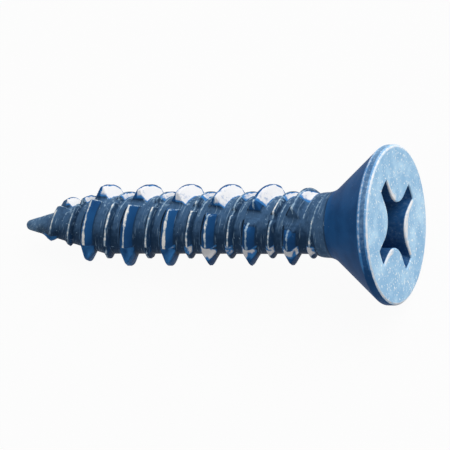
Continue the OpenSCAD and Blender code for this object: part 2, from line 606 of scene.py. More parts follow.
        ncol, nrow = len(columns), len(self.profile())
        start_ring = len(points) + np.arange(ncol)
        end_ring = start_ring + ncol
        index = np.arange(len(points)).reshape(grid.s.shape)
        index = np.where(grid.free < self.ring_start, start_ring, index)
        index = np.where(grid.free > self.thread_end, end_ring, index)
        closed = np.concatenate([index, np.roll(index[:, :1], -self.hand.value * nrow, axis=0)], axis=1)
        lo, hi = closed[:-1], closed[1:]
        quads = np.stack([lo[:, :-1], lo[:, 1:], hi[:, 1:], hi[:, :-1]], axis=-1)
        triangles = split(quads[nrow:-nrow].reshape(-1, 4))

        rings = [self.ring(columns, self.ring_start), self.ring(columns, self.thread_end)]
        tip_points, tip_triangles = self.tip(columns, start_ring, len(points) + 2 * ncol)
        plain = np.tile([0.0, self.tip_frost.most, 0.0, 1.0], (2 * ncol + len(tip_points), 1))
        plain[ncol:2 * ncol, 1] = 0
        zones = np.concatenate([ThreadWearAndLight(self, grid, relief).zones(), plain])
        points = np.concatenate([points, *rings, tip_points])
        return points, zones, np.concatenate([triangles, tip_triangles]), end_ring

    def ring(self, columns: Array, s: float) -> Array:
        """Ring of points on the bare shank at one station, with one point for each column."""
        angle = np.radians(columns[:, 0] + columns[:, 1] * s)
        return polar(self.bare_radius(np.array(s)), angle, s)

    def tip(self, columns: Array, top: Array, first: int) -> tuple[Array, Array]:
        """Rings on the ball of the tip, and the triangles that close it.

        Args:
            columns: Columns of the shank.
            top: Indices of the ring that the tip meets.
            first: Index of the first new point.

        Returns:
            New points and triangles.
        """
        turn = np.linspace(90 - self.point_half, 0, self.ball_rings, endpoint=False)
        ball = self.tip_r - (self.tip_r - self.tip_gap) * np.cos(np.radians(turn))
        stations = np.concatenate([[0.5 * (self.ball_end + self.ring_start)], ball])
        rings = [self.ring(columns, s) for s in stations]
        ncol = len(columns)
        index = first + np.arange(len(rings) * ncol).reshape(-1, ncol)
        apex = np.full(ncol, first + index.size)
        triangles = split(ring_quads(np.concatenate([[apex], index[::-1], [top]])))
        return np.concatenate([*rings, [[0, 0, self.tip_gap]]]), triangles

    def helix(self, points: Array) -> Array:
        """Place of each point in the thread's profile, in millimetres on from the last high crest."""
        turn = np.arctan2(points[..., 1], points[..., 0]) / (2 * np.pi)
        return (points[..., 2] - self.phase - self.hand.value * self.lead * turn) % self.lead

    def run_out(self, patch: Patch, end: float) -> Patch:
        """Carries the low crest on over the neck as a faint ridge that dies away near the top.

        Args:
            patch: Rings that start where the thread ends.
            end: Station that the ridge stays below.

        Returns:
            The rings with the ridge, and thin coating on it.
        """
        x, y, s = np.moveaxis(patch.points, -1, 0)
        turn = np.degrees(np.arctan2(y, x)) % 360
        line = bell(self.helix(patch.points) - self.lead / 2, self.run_out_soft) * (s < end)
        line = line * ramp(turn, self.run_out_from) * ramp(turn, self.run_out_to)
        points = patch.points.copy()
        points[..., :2] *= (1 + line * self.run_out_h / self.top_r)[..., None]
        zones = patch.zones.copy()
        zones[..., 0] = np.maximum(zones[..., 0], self.run_out_wear * line)
        return Patch(points, zones)


@dataclass(frozen=True)
class RidgeWearAndLight:
    """How one thread wears and where its painted shade and painted highlights lie, with widths in
    millimetres.

    Args:
        line_shift: Distance of the bare line on the crest from its middle, towards the tip.
        line_part: Share of the usual width of that line.
        line_soft: Softness of its edges.
        line_left: Span of what is left of the crest, over which the line comes in.
        edge_soft: Width of the bare edge along a notch.
        edge_left: Span of what is left of the crest, over which that edge comes in.
        edge_most: Greatest wear of that edge.
        crease_shade_shift: Distance of the painted shade at the flank's foot from the crest's edge, towards
            the tip.
        crease_shade_soft: Width of that painted shade.
        dome_share: Span of the profile over which the painted white highlight on the flank begins at its
            foot.
        dome_over: How far the white reaches over the edge of the crest.
        dome_back: How far it draws back where the flank turns away from the front.
    """

    line_shift: float
    line_part: float
    line_soft: float
    line_left: Span
    edge_soft: float
    edge_left: Span
    edge_most: float
    crease_shade_shift: float
    crease_shade_soft: float
    dome_share: Span
    dome_over: float
    dome_back: float


@dataclass(frozen=True)
class ThreadWearAndLight:
    """Worn coating on the thread, with painted light and painted shade, worked out on the shank's grid.

    A Span holds the two values between which something comes in. Its name ends in _s for stations in
    millimetres, in _up or _side for the cosine or sine of the angle, in _left for what is left of a
    crest, in _off for degrees from the middle of a notch, and in _share for the thread's profile.
    """

    shank: Shank
    grid: ThreadGrid
    relief: Relief
    high: RidgeWearAndLight = RidgeWearAndLight(
        line_shift=0.02, line_part=1.0, line_soft=0.06, line_left=(0.333, 0.667),
        edge_soft=0.11, edge_left=(0.0, 0.125), edge_most=1.0, crease_shade_shift=0.5, crease_shade_soft=0.12,
        dome_share=(0.0, 0.0714), dome_over=0.15, dome_back=0.21)
    low: RidgeWearAndLight = RidgeWearAndLight(
        line_shift=0.05, line_part=0.5, line_soft=0.05, line_left=(0.1125, 0.3625),
        edge_soft=0.09, edge_left=(0.0, 0.167), edge_most=0.75, crease_shade_shift=0.12, crease_shade_soft=0.08,
        dome_share=(0.0, 0.1), dome_over=0.12, dome_back=0.17)
    bite_grain: Grain = Grain(0.35, 41)
    # Bare lines on the crests
    line_half: float = 0.05
    line_bite: float = 0.085
    line_side: Span = (0.6, 0.85)
    high_line: float = 0.92
    high_line_loss: Reach = Reach(0.32, s=(15.0, 19.0))
    low_line: float = 0.8
    low_line_loss: float = 0.25
    low_end: float = 0.8
    low_end_s: Span = (-1.2, -0.8)
    last_turn: Reach = Reach(s=(21.8, 23.0), up=(0.0, 0.25))
    # Bare edges of notches, brighter on one side of each notch as painted highlight
    edge_share: Span = (0.125, 0.375)
    edge_loss: Reach = Reach(0.85, s=(15.5, 19.0))
    edge_before: float = 0.3
    edge_mean: float = 0.8
    edge_bite: float = 0.5
    # Painted light on top of the roots, and painted highlight lines at the feet of threads
    top_light: Reach = Reach(0.26, up=(0.35, 0.75))
    foot_highlight: Reach = Reach(0.62, s=(6.0, 8.0), up=(0.15, 0.5))
    foot_highlight_at: float = 0.5
    end_highlight: Reach = Reach(0.62, s=(23.6, 24.4), up=(0.0, 0.3))
    end_highlight_at: float = 0.78
    highlight_soft: float = 0.06
    # Underside near the point, brighter blue as painted light
    under: Reach = Reach(s=(17.0, 13.0), up=(-0.6, -0.8))
    under_share: Span = (0.0, 0.333)
    under_light: float = 0.12
    under_bite: float = 0.08
    # Painted highlights: white areas in the row of notches below the front
    patch: Reach = Reach(s=(11.5, 15.5))
    patch_row: int = 1
    patch_off: Span = (14.0, 8.0)
    patch_mean: float = 0.64
    patch_bite: float = 0.75
    patch_low: float = 0.8
    thread_share: Span = (0.0, 0.25)
    # Painted highlight: white flanks of the upper side
    dome: Reach = Reach(s=(1.5, 3.0))
    dome_row: int = 3
    dome_off: Span = (14.0, 19.0)
    dome_front_off: Span = (-7.0, -12.0)
    dome_edge: Span = (0.0, 0.04)
    dome_left: Span = (0.0833, 0.25)
    dome_up: Span = (0.0, 0.12)
    dome_least_up: float = 0.5
    dome_middle_s: float = 15.0
    dome_gain: Span = (0.0015, 0.0022)
    dome_front: Reach = Reach(0.16, s=(18.0, 16.0))
    dome_turn: Reach = Reach(side=(0.57, 0.14))
    dome_back: Reach = Reach(0.35, side=(0.0, -0.2))
    dome_white: float = 0.95
    dome_white_loss: Reach = Reach(0.35, side=(0.0, 0.625))
    low_dome: Reach = Reach(0.8, up=(0.78, 0.9))
    # Grey roots, partly painted sheen, and dull teeth near the head
    # Painted shade towards the underside, on the low thread's flank and at the feet of the flanks
    root_start: Reach = Reach(s=(3.2, 5.2))
    root_rise: Span = (0.175, 0.425)
    dull: float = 0.9
    dull_front: Reach = Reach(s=(18.0, 20.0))
    dull_off: Span = (24.0, 17.0)
    dull_bite: float = 6.0
    shade: Reach = Reach(0.55, up=(0.2, -0.7))
    low_flank: float = 0.4
    low_flank_x: Span = (0.02, 0.1)
    low_flank_left: Span = (0.0, 0.333)
    crease_shade: float = 1.1
    crease_shade_left: Span = (0.2, 0.533)

    @cached_property
    def bite(self) -> Array:
        """Fine noise from -1 to 1 that breaks up the edges of the wear."""
        return self.grid.noise(self.bite_grain)

    @cached_property
    def underside(self) -> Array:
        """Share of the high thread's underside near the point, which stays blue and gets painted light."""
        return self.under.on(self.grid) * ramp(self.relief.high.share, self.under_share)

    def crest_line(self, ridge: Ridge, wear_and_light: RidgeWearAndLight) -> Array:
        """Bare line along a crest: 1 within a half-width that the noise changes, and a bell outside it."""
        half = wear_and_light.line_part * (self.line_half + self.line_bite * self.bite)
        return bell(np.maximum(0, np.abs(ridge.x + wear_and_light.line_shift) - half), wear_and_light.line_soft)

    def notch_edge(self, ridge: Ridge, wear_and_light: RidgeWearAndLight) -> Array:
        """Bare edge where a notch cuts a thread, partly painted highlight: a bell on the height between the
        two surfaces.
        """
        on_thread = ramp(ridge.left, wear_and_light.edge_left) * ramp(ridge.share, self.edge_share)
        return wear_and_light.edge_most * bell(ridge.gap, wear_and_light.edge_soft) * on_thread

    def crease_shade_line(self, ridge: Ridge, wear_and_light: RidgeWearAndLight) -> Array:
        """Painted shade at the foot of a thread's flank on the tip's side: a bell along the thread."""
        line = bell(ridge.x + ridge.crest + wear_and_light.crease_shade_shift, wear_and_light.crease_shade_soft)
        return line * ramp(ridge.left, self.crease_shade_left)

    def flank(self, ridge: Ridge, wear_and_light: RidgeWearAndLight, turned: Array, front: Array) -> Array:
        """Painted highlight on a head-side flank: turned draws it back, and front moves it over the crest.
        """
        reach = ridge.drop + wear_and_light.dome_over + front - wear_and_light.dome_back * turned
        return ramp(ridge.share, wear_and_light.dome_share) * ramp(reach, self.dome_edge)

    def lines(self) -> Array:
        """Bare lines on the crests: the high one on the sides and the last turn, the low one all round.

        Returns:
            One wear value for each point.
        """
        high, low = self.relief.high, self.relief.low
        sideward = ramp(np.abs(self.grid.side), self.line_side)
        most = self.high_line - self.high_line_loss.on(self.grid)
        high_line = most * self.crest_line(high, self.high) * ramp(high.left, self.high.line_left)
        low_end = self.low_end * ramp(self.grid.s - self.shank.thread_end, self.low_end_s)
        low_left = np.maximum(ramp(low.left, self.low.line_left), low_end)
        low_line = self.low_line * self.crest_line(low, self.low) * low_left
        return np.maximum(high_line * np.maximum(sideward, self.last_turn.on(self.grid)),
                          low_line * (1 - self.low_line_loss * (1 - sideward)))

    def wear_and_light(self) -> Array:
        """Thin or bare coating on crest lines and notch edges, with painted light and painted highlights.

        The notch edges are partly painted highlight, the roots on top get painted light, and two feet get
        painted highlight lines.

        Returns:
            One value for each point, worn coating and painted light together.
        """
        grid, high, low = self.grid, self.relief.high, self.relief.low
        past = 1 - self.edge_loss.on(grid)
        # Painted highlight: the edges stay brighter on the side of each notch past its middle
        kept = np.where(grid.off > 0, past, self.edge_before) * (grid.row != self.patch_row)
        edges = np.maximum(self.notch_edge(high, self.high), self.notch_edge(low, self.low))
        edges = edges * kept * (self.edge_mean + self.edge_bite * self.bite)
        # Painted light on the roots on top, and painted highlight lines along two feet
        pale = self.top_light.on(grid) * (1 - high.share)
        foot = self.foot_highlight.on(grid) * bell(low.x - self.foot_highlight_at, self.highlight_soft)
        end = self.end_highlight.on(grid) * bell(high.x - self.end_highlight_at, self.highlight_soft)
        return np.maximum.reduce([self.lines(), edges, pale, foot, end])

    def notch_highlights(self) -> Array:
        """Painted highlights: white areas where the row of notches below the front cuts the threads.

        Returns:
            One painted highlight value for each point.
        """
        threads = np.maximum(ramp(self.relief.high.share, self.thread_share),
                             self.patch_low * ramp(self.relief.low.share, self.thread_share))
        place = ramp(np.abs(self.grid.off), self.patch_off) * self.patch.on(self.grid)
        broken = self.patch_mean + self.patch_bite * self.bite
        return place * threads * broken * (self.grid.row == self.patch_row)

    def top_highlights(self) -> Array:
        """Painted highlight: white flanks of the upper side, between the last row of notches and the first.

        The least height round the screw at which a flank is white grows with the square of the
        distance from the middle of the thread.

        Returns:
            One painted highlight value for each point.
        """
        grid, high, low = self.grid, self.relief.high, self.relief.low
        front_reach = ramp(grid.off, self.dome_front_off) * (grid.row == 0)
        reach = np.where(grid.row == self.dome_row, ramp(grid.off, self.dome_off), front_reach)
        turned = self.dome_turn.on(grid) + self.dome_back.on(grid)
        front = self.dome_front.on(grid) * np.clip(1 - turned, 0, 1)
        from_middle = grid.s - self.dome_middle_s
        gain = np.where(from_middle > 0, self.dome_gain[1], self.dome_gain[0])
        least = self.dome_least_up + gain * from_middle ** 2
        on_high = self.flank(high, self.high, turned, front) * ramp(high.left, self.dome_left)
        on_low = self.flank(low, self.low, turned, 0 * front) * self.low_dome.on(grid)
        white = np.maximum(on_high * ramp(grid.up - least, self.dome_up), on_low)
        return white * reach * self.dome.on(grid) * (self.dome_white - self.dome_white_loss.on(grid))

    def root(self) -> Array:
        """Grey coating, partly painted sheen: the roots and the dull starts of the last teeth.

        Painted shade thins the grey towards the underside and on the low thread's flank, and above 1 the
        value is painted shade at the feet of the flanks. The underside near the point stays blue.

        Returns:
            One root value for each point.
        """
        grid, high, low = self.grid, self.relief.high, self.relief.low
        grown = self.root_start.on(grid)
        root = 1 - ramp(high.rise / high.height, self.root_rise) * grown
        past = self.shank.past_front(grid) + self.dull_bite * self.bite
        dull = ramp(past, self.dull_off) * self.dull_front.on(grid) * grid.front
        root = np.maximum(root, self.dull * np.maximum(dull, self.last_turn.on(grid)))
        # Painted shade: the grey thins towards the underside and on the low thread's flank on the head's
        # side
        flank = ramp(low.share, self.thread_share) * ramp(low.x, self.low_flank_x)
        flank = flank * ramp(low.left, self.low_flank_left)
        root = root * (1 - self.shade.on(grid)) * (1 - self.low_flank * flank)
        # Painted shade at the feet of the flanks, carried as root values above 1
        crease_shades = np.maximum(self.crease_shade_line(high, self.high), self.crease_shade_line(low, self.low))
        return (root + self.crease_shade * crease_shades * grown) * (1 - self.underside)

    def zones(self) -> Array:
        """Zone values of the grid: worn coating and painted light, frosting, painted highlights and root.

        The frosting lies on the point, and the root value carries painted shade.

        Returns:
            Four values for each point.
        """
        frost_and_sheen = self.shank.tip_frost.on(self.grid)
        # Painted light that makes the underside near the point brighter blue
        under = self.underside * (self.under_light + self.under_bite * self.bite)
        rub = np.maximum.reduce([self.top_highlights(), self.notch_highlights(), under])
        return np.stack([self.wear_and_light(), frost_and_sheen, rub, self.root()], axis=-1).reshape(-1, 4)


def ring_quads(index: Array) -> Array:
    """Quads between successive closed rings of indices, one row for each ring, wound to face outwards."""
    along = np.roll(index, -1, axis=1)
    return np.stack([index[:-1], along[:-1], along[1:], index[1:]], axis=-1).reshape(-1, 4)


def split(quads: Array) -> Array:
    """Two triangles for each quad, without those that have a corner twice.

    Args:
        quads: Rows of four indices.

    Returns:
        Rows of three indices.
    """
    both = np.concatenate([quads[:, [0, 1, 2]], quads[:, [0, 2, 3]]])
    whole = (both[:, 0] != both[:, 1]) & (both[:, 1] != both[:, 2]) & (both[:, 2] != both[:, 0])
    return both[whole]


@dataclass
class Recess:
    """Cross recess and the face round it, in millimetres: a cone that four lobes of the head cut."""

    mouth_r: float = 4.2
    wing_half: float = 0.725
    wing_depth: float = 3.2
    floor_depth: float = 0.55
    slope: float = 26.5
    corner_r: float = 1.9
    turn: float = 41.0
    lip: float = 0.12
    # Columns and rings
    end_steps: int = 6
    side_steps: int = 6
    face_rings: int = 16
    lip_rings: int = 6
    wall_rings: int = 10
    floor_rings: int = 13
    # Painted light on the far walls, painted highlight and shade on the lip, and dust inside
    far_facing: Span = (0.2143, -0.5)
    wing_end_gap: float = 0.02
    wing_end_light: float = 0.2
    lit_depth: float = 0.1
    lit_soft: float = 0.08
    lip_shade: float = 0.6
    lip_highlight: float = 0.6
    lip_reach: int = 3
    dust: float = 0.17

    @property
    def wall_top(self) -> float:
        """Radius of the cone at the depth where the rounded lip has ended on the wings' tips."""
        return self.mouth_r - self.lip

    @property
    def inset(self) -> float:
        """Distance of a lobe's corner centre from the middle lines of the wings."""
        return self.wing_half + self.corner_r

    def angles(self, count: int) -> Array:
        """Angles of the columns, with one on each corner of the outline.

        Args:
            count: Columns in all four quarters.

        Returns:
            Angles in degrees, growing.
        """
        tip = np.degrees(np.arcsin(self.wing_half / self.wall_top))
        side = np.degrees(np.arctan2(self.wing_half, self.inset))
        corner_steps = count // 4 - 2 * (self.end_steps + self.side_steps)
        half = np.concatenate([np.linspace(0, tip, self.end_steps, endpoint=False),
                               np.linspace(tip, side, self.side_steps, endpoint=False)])
        round_part = np.linspace(side, 90 - side, corner_steps + 1)
        quarter = np.concatenate([half, round_part, 90 - half[:0:-1]])
        return (np.arange(4)[:, None] * 90 + quarter).ravel()

    def columns(self, start_angles: Array) -> tuple[Array, Array]:
        """Angles of the columns, begun where the first column of the side lies nearest.

        Args:
            start_angles: Angles of the columns at the end of the thread, in degrees.

        Returns:
            Angles from a wing of the recess, and the same angles round the screw's axis.
        """
        local = self.angles(len(start_angles))
        first = np.argmin(np.abs((local + self.turn - start_angles[0] + 180) % 360 - 180))
        local = np.concatenate([local[first:], local[:first] + 360])
        turned = local + self.turn
        return local, turned + 360 * np.round((start_angles.mean() - turned.mean()) / 360)

    def outline(self, angles: Array) -> Array:
        """Wall of the recess: along each ray the nearer of a lobe's side, its round corner and the cone.

        Args:
            angles: Angles from a wing, in degrees.

        Returns:
            Radius of the wall on each ray.
        """
        a = np.radians(angles % 90)
        a = np.minimum(a, np.pi / 2 - a)
        to_centre = np.sqrt(2) * self.inset
        off = np.pi / 4 - a
        chord = np.sqrt(np.maximum(0, self.corner_r ** 2 - (to_centre * np.sin(off)) ** 2))
        side = self.wing_half / np.maximum(np.sin(a), 1e-6)
        lobe = np.where(side * np.cos(a) >= self.inset, side, to_centre * np.cos(off) - chord)
        return np.minimum(lobe, self.wall_top)

    def depth(self, r: Array) -> Array:
        """Depth of the cone at a radius: a steep skirt down to the wings, and a shallow cone under it.

        Args:
            r: Distances from the axis.

        Returns:
            One depth for each.
        """
        slope = np.tan(np.radians(self.slope))
        foot_r = self.mouth_r - self.wing_depth * slope
        cone = self.wing_depth + self.floor_depth * (1 - r / foot_r)
        return np.where(r > foot_r, (self.mouth_r - r) / slope, cone)

    def rings(self, local: Array, turned: Array, edge_r: float, top: float) -> Patch:
        """Rings from the edge of the face over the lip and down the wall to the recess floor.

        The face's rings pass from the round edge to the outline of the recess, the lip is a quarter
        round along the outline's normal, the wall is straight and the floor is the cone's depth along
        each ray.

        Args:
            local: Angles of the columns from a wing, in degrees.
            turned: The same angles round the screw's axis.
            edge_r: Radius of the face.
            top: Station of the face.

        Returns:
            Rings in order, without the point at the middle of the floor.
        """
        a = np.radians(turned)
        ray = np.stack([np.cos(a), np.sin(a)], axis=1)
        wall_r = self.outline(local)
        wall = ray * wall_r[:, None]
        along = np.roll(wall, -1, axis=0) - np.roll(wall, 1, axis=0)
        normal = np.stack([along[:, 1], -along[:, 0]], axis=1) / np.linalg.norm(along, axis=1)[:, None]
        t = smooth(between(0, 1, self.face_rings))[:, None, None]
        face = ray * edge_r * (1 - t) + (wall + normal * self.lip) * t
        quarter = np.radians(np.linspace(90, 0, self.lip_rings))[:, None, None]
        lip = wall + normal * self.lip * (1 - np.cos(quarter))
        lip_d = np.broadcast_to(self.lip * (1 - np.sin(quarter))[..., 0], lip.shape[:2])
        down = np.linspace(0, 1, self.wall_rings + 1)[1:, None] ** 2
        wall_d = self.lip + (self.depth(wall_r) - self.lip) * down
        floor_r = wall_r * between(1, 0, self.floor_rings)[:, None]
        upright = np.broadcast_to(wall, (self.wall_rings, *wall.shape))
        flat = np.concatenate([face, lip, upright, ray * floor_r[..., None]])
        depth = np.concatenate([np.zeros(face.shape[:2]), lip_d, wall_d, self.depth(floor_r)])
        points = np.concatenate([flat, (top - depth)[..., None]], axis=-1)

        # Painted light on the walls that face the camera, weaker at the wings' ends
        far = ramp(normal[:, 1], self.far_facing)
        far = far * np.where(wall_r < self.wall_top - self.wing_end_gap, 1, self.wing_end_light)
        return Patch(points, self.zones(far, wall_d))

    def zones(self, far: Array, wall_d: Array) -> Array:
        """Zone values of the rings: a frosted face with painted sheen, painted far-side light, and dust
        inside.

        The far side of the lip and the top of the far wall are pale as painted light, with a painted
        highlight on that lip, and the near side of the lip is darker as painted shade.

        Args:
            far: How far the wall of each column faces the camera, from 0 to 1.
            wall_d: Depth of each point of the wall.

        Returns:
            Four values for each point.
        """
        lip = 1 - np.linspace(0, self.lip_shade, self.lip_rings)[:, None] * (1 - far)
        lit = ramp(wall_d - self.lit_depth * far, (self.lit_soft, 0.0)) * far
        frost_and_sheen = np.concatenate([np.ones((self.face_rings, len(far))), lip, np.maximum(lit, self.dust),
                                np.full((self.floor_rings, len(far)), self.dust)])
        # Painted highlight on the far side of the lip, reaching a few rings onto the face
        rub = np.zeros_like(frost_and_sheen)
        rub[self.face_rings - self.lip_reach:self.face_rings + self.lip_rings] = self.lip_highlight * far
        return np.stack([0 * frost_and_sheen, frost_and_sheen, rub, 0 * frost_and_sheen], axis=-1)


@dataclass(frozen=True)
class Tone:
    """Frosting with painted sheen, and painted highlight, of one stretch of the head's outline, each from 0
    to 1.
    """

    frost_and_sheen: float = 0.0
    rub: float = 0.0


@dataclass
class Head:
    """Plain neck, countersunk cone, rim and face, in millimetres from the tip."""

    head_r: float
    length: float = 31.75
    recess: Recess = field(default_factory=Recess)
    countersink_half: float = 41.0
    rim_h: float = 0.75
    bevel: float = 0.15
    neck_r: float = 2.6
    neck_l: float = 1.1
    neck_fillet: float = 2.0
    neck_step: float = 0.03
    edge_round: float = 0.05
    # Rings, and how fast their columns turn to those of the recess
    neck_rings: int = 11
    fillet_rings: int = 26
    cone_rings: int = 18
    rim_rings: int = 4
    bevel_rings: int = 3
    corner_rings: int = 5
    turn_rate: float = 1.2
    # Outline tones with painted edge highlights, and how painted light changes them round the screw
    foot_tone: Tone = Tone(0.75, 0.42)
    rim_tone: Tone = Tone(0.62)
    brow_tone: Tone = Tone(0.85, 0.3)
    bevel_tone: Tone = Tone(1.0, 0.52)
    edge_tone: Tone = Tone(1.0, 0.5)
    full_frost: float = 0.9
    rim_light: float = 0.45
    rim_light_most: float = 0.52
    crown_light: float = 0.3
    crown_up: Span = (0.72, 0.97)
    rim_highlight_up: Span = (-0.75, -0.25)
    neck_grey: Span = (0.08, -0.22)
    neck_wear: float = 0.13

    @property
    def cone_s(self) -> float:
        """Station where the cone's line meets the neck."""
        slope = np.tan(np.radians(self.countersink_half))
        return self.length - self.rim_h - (self.head_r - self.neck_r) / slope

    @property
    def thread_end(self) -> float:
        """Station where the thread ends and the plain neck begins."""
        return self.cone_s - self.neck_l

    def rounded(self, before: Array, corner: Array, after: Array) -> Array:
        """Corner of the outline as a short parabola, which starts and ends edge_round from it.

        Args:
            before: A point on the line that leads to the corner.
            corner: The corner.
            after: A point on the line that leaves it.

        Returns:
            Rows of radius and station.
        """
        a = corner + (before - corner) / np.linalg.norm(before - corner) * self.edge_round
        b = corner + (after - corner) / np.linalg.norm(after - corner) * self.edge_round
        t = np.linspace(0, 1, self.corner_rings)[:, None]
        return a * (1 - t) ** 2 + 2 * corner * t * (1 - t) + b * t ** 2

    def side(self) -> tuple[Array, Array, Array]:
        """Outline of neck, cone, rim and bevel as radius and station, with frosting, painted sheen and
        painted highlights.

        Returns:
            Rows of radius and station, one value of frosting and painted sheen for each from 0 blue
            to 1 pale, and one painted highlight value.
        """
        half = np.radians(self.countersink_half)
        tangent = self.neck_fillet * np.tan(half / 2)
        turn = np.linspace(0, half, self.fillet_rings)
        fillet = np.stack([self.neck_r + self.neck_fillet * (1 - np.cos(turn)),
                           self.cone_s - tangent + self.neck_fillet * np.sin(turn)], axis=1)
        swell = between(0, 1, self.neck_rings)
        neck = np.stack([self.neck_r - self.neck_step * (1 - smooth(swell)),
                         self.thread_end + swell * (fillet[0, 1] - self.thread_end)], axis=1)
        foot = np.array([self.head_r, self.length - self.rim_h])
        brow = np.array([self.head_r, self.length - self.bevel])
        edge = np.array([self.head_r - self.bevel, self.length])
        foot_curve = self.rounded(fillet[-1], foot, brow)
        brow_curve = self.rounded(foot, brow, edge)
        edge_curve = self.rounded(brow, edge, edge - np.array([1.0, 0.0]))
        parts = [(neck, Tone()), (fillet, Tone()),
                 (between(fillet[-1], foot_curve[0], self.cone_rings), Tone()),
                 (foot_curve, self.foot_tone),
                 (between(foot_curve[-1], brow_curve[0], self.rim_rings), self.rim_tone),
                 (brow_curve, self.brow_tone),
                 (between(brow_curve[-1], edge_curve[0], self.bevel_rings), self.bevel_tone),
                 (edge_curve, self.edge_tone)]
        frost_and_sheen = np.concatenate([np.full(len(rows), tone.frost_and_sheen) for rows, tone in parts])
        rub = np.concatenate([np.full(len(rows), tone.rub) for rows, tone in parts])
        return np.concatenate([rows for rows, _ in parts]), frost_and_sheen, rub

    def side_rings(self, start_angles: Array, end_angles: Array) -> Patch:
        """Surface of revolution of the side, whose columns turn from the thread's to the recess's.

        Args:
            start_angles: Angles of the columns at the end of the thread, in degrees.
            end_angles: Angles of the columns on the face.

        Returns:
            Rings from the neck to the edge of the face.
        """
        outline, frost_and_sheen, rub = self.side()
        way = np.cumsum(np.linalg.norm(np.diff(outline, axis=0, prepend=outline[:1]), axis=1))
        share = smooth(way / way[-1] * self.turn_rate)[:, None]
        angle = np.radians(start_angles * (1 - share) + end_angles * share)
        points = polar(outline[:, :1], angle, outline[:, 1:])

        # Painted light: rim and edges grow paler towards the top, and painted highlights fade underneath
        up = np.cos(angle)
        partly = (frost_and_sheen < self.full_frost)[:, None]
        on_rim = np.minimum(self.rim_light_most, self.rim_light * (1 + up))
        on_rim = on_rim + self.crown_light * ramp(up, self.crown_up)
        pale = frost_and_sheen[:, None] * np.where(partly, on_rim, 1)
        bright = rub[:, None] * np.where(partly, ramp(up, self.rim_highlight_up), 1)
        # The neck is grey like the roots, partly painted sheen
        grey = ramp(points[..., 2] - self.cone_s, self.neck_grey)
        return Patch(points, np.stack([self.neck_wear * grey, pale, bright, grey], axis=-1))

    def surface(self, start_angles: Array) -> Patch:
        """Rings from the neck over cone, rim, face and lip down to the recess floor.

        Args:
            start_angles: Angles of the columns at the end of the thread, in degrees.

        Returns:
            Rings in order, without the point at the middle of the floor.
        """
        local, turned = self.recess.columns(start_angles)
        side = self.side_rings(start_angles, turned)
        inner = self.recess.rings(local, turned, self.head_r - self.bevel - self.edge_round, self.length)
        return Patch(np.concatenate([side.points, inner.points]), np.concatenate([side.zones, inner.zones]))


class Zone(Enum):
    """Channel of the zones attribute that a layer of the coating follows.

    The channels hold worn coating with painted light, frosting with painted sheen, painted
    highlights, and grey roots with painted shade.
    """

    WEAR_AND_LIGHT = "Red"
    FROST_AND_SHEEN = "Green"
    HIGHLIGHT = "Blue"
    ROOT = "Alpha"


@dataclass(frozen=True)
class Pattern:
    """Noise of a real size.

    Args:
        size_mm: Width of its largest blots in millimetres.
        detail: How many finer octaves it has.
        attribute: Attribute that it lies on, or None for the object's own coordinates.
    """

    size_mm: float
    detail: float
    attribute: str | None = None


@dataclass(frozen=True)
class Layer:
    """One colour that is laid over the ones before it, where a zone plus noise about its middle is high.

    Args:
        colour: sRGB hex colour.
        pattern: Noise that breaks the layer up.
        low: Value at which the layer begins.
        high: Value at which it covers.
        zone: Zone that it follows, or None for the noise alone.
        reach: How far the noise moves the edge.
        within: Earlier layer that it stays inside, or None.
    """

    colour: str
    pattern: Pattern
    low: float
    high: float
    zone: Zone | None = None
    reach: float = 1.0
    within: str | None = None


